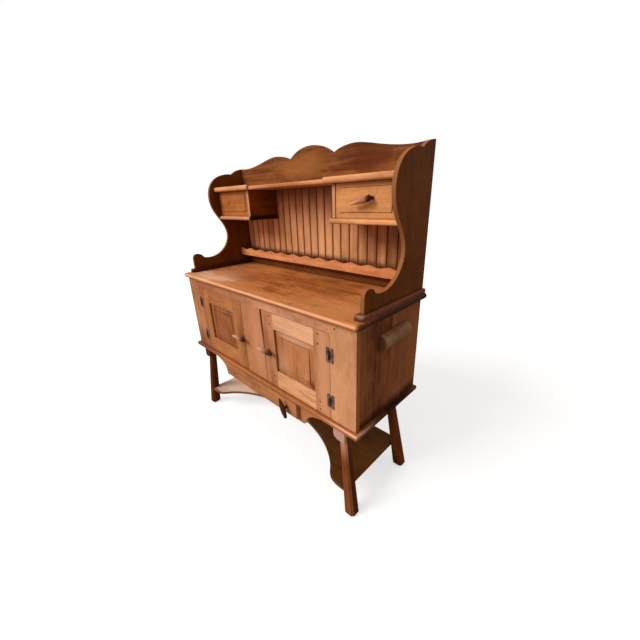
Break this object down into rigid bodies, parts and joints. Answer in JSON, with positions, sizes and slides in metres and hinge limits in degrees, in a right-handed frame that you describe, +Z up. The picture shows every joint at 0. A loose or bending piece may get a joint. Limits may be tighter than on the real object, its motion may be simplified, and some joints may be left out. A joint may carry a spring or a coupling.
{
  "type": "bakers cabinet",
  "caption": "Wooden bakers cabinet: two-door cupboard with lift handles and an apron drawer on splayed legs, under a scrolled hutch with a beadboard back and small drawers.",
  "frame": {"origin": "centre of the footprint's bounding box on the floor", "axes": "+X to the cabinet's right as seen from the front, +Y from the front to the back, +Z up"},
  "size_m": [1.348, 0.522, 1.547],
  "materials": {
    "top_wood": "satin",
    "front_wood": "satin",
    "case_wood": "satin",
    "hutch_wood": "satin",
    "back_wood": "satin",
    "bright_wood": "satin",
    "stand_wood": "satin",
    "pull_wood": "satin",
    "inner_wood": "raw",
    "dark_iron": "dull black"
  },
  "bodies": {
    "cabinet": {"apron_board": "stand_wood", "apron_runners": "inner_wood", "back_boards": "back_wood", "base_rail": "back_wood", "bottom_board": "case_wood", "case_back": "inner_wood", "centre_face_stile": "front_wood", "crest_board": "hutch_wood", "cupboard_battens": "inner_wood", "frame_pegs": "pull_wood", "gallery_shelf": "back_wood", "hinge_frame_leaves": "dark_iron", "inner_shelf": "inner_wood", "left_bay_divider": "hutch_wood", "left_bay_floor": "bright_wood", "left_bearer": "stand_wood", "left_case_side": "case_wood", "left_face_stile": "front_wood", "left_front_leg": "stand_wood", "left_lift_handle": "stand_wood", "left_rear_leg": "stand_wood", "left_scroll_side": "hutch_wood", "left_shoe": "hutch_wood", "lower_shelf": "stand_wood", "right_bay_divider": "hutch_wood", "right_bay_floor": "bright_wood", "right_bearer": "stand_wood", "right_case_side": "case_wood", "right_face_stile": "front_wood", "right_front_leg": "stand_wood", "right_lift_handle": "stand_wood", "right_rear_leg": "stand_wood", "right_scroll_side": "hutch_wood", "right_shoe": "hutch_wood", "scalloped_rail": "bright_wood", "top_face_rail": "front_wood", "upper_shelf": "bright_wood", "worktop": "top_wood"},
    "left_door": {"left_door_stiles": "front_wood", "left_door_rails": "front_wood", "left_door_panel": "front_wood", "left_door_pegs": "pull_wood", "left_door_hinge_leaves": "dark_iron"},
    "left_small_drawer": {"left_small_drawer_front": "bright_wood", "left_small_drawer_box": "inner_wood"},
    "left_door_pull": {"left_door_toggle": "pull_wood"},
    "right_door": {"right_door_stiles": "front_wood", "right_door_rails": "front_wood", "right_door_panel": "front_wood", "right_door_pegs": "pull_wood", "right_door_hinge_leaves": "dark_iron"},
    "right_small_drawer": {"right_small_drawer_front": "bright_wood", "right_small_drawer_box": "inner_wood"},
    "right_door_pull": {"right_door_toggle": "pull_wood"},
    "apron_drawer": {"apron_drawer_front": "case_wood", "apron_drawer_box": "inner_wood"},
    "apron_pull": {"apron_drawer_toggle": "pull_wood"},
    "right_small_pull": {"right_small_drawer_toggle": "pull_wood"}
  },
  "joints": [
    {"name": "right_door_hinge", "type": "hinge", "parent": "cabinet", "child": "right_door", "pos_m": [0.514, -0.214, 0.6545], "axis": [0, 0, 1], "range_deg": [0, 170]},
    {"name": "left_door_hinge", "type": "hinge", "parent": "cabinet", "child": "left_door", "pos_m": [-0.514, -0.214, 0.6545], "axis": [0, 0, -1], "range_deg": [0, 170]},
    {"name": "right_door_pull_turn", "type": "hinge", "parent": "right_door", "child": "right_door_pull", "pos_m": [0.124, -0.209, 0.652], "axis": [0, 1, 0], "range_deg": [-180, 180]},
    {"name": "left_door_pull_turn", "type": "hinge", "parent": "left_door", "child": "left_door_pull", "pos_m": [-0.101, -0.209, 0.652], "axis": [0, 1, 0], "range_deg": [-180, 180]},
    {"name": "apron_drawer_slide", "type": "slide", "parent": "cabinet", "child": "apron_drawer", "axis": [0, -1, 0], "range_m": [0, 0.29]},
    {"name": "right_small_drawer_slide", "type": "slide", "parent": "cabinet", "child": "right_small_drawer", "axis": [0, -1, 0], "range_m": [0, 0.12]},
    {"name": "left_small_drawer_slide", "type": "slide", "parent": "cabinet", "child": "left_small_drawer", "axis": [0, -1, 0], "range_m": [0, 0.12]},
    {"name": "right_small_pull_turn", "type": "hinge", "parent": "right_small_drawer", "child": "right_small_pull", "pos_m": [0.505, 0.055, 1.302], "axis": [0, 1, 0], "range_deg": [-190, 35]},
    {"name": "apron_pull_turn", "type": "hinge", "parent": "apron_drawer", "child": "apron_pull", "pos_m": [0.24, -0.225, 0.394], "axis": [0, 1, 0], "range_deg": [-110, 110]}
  ]
}
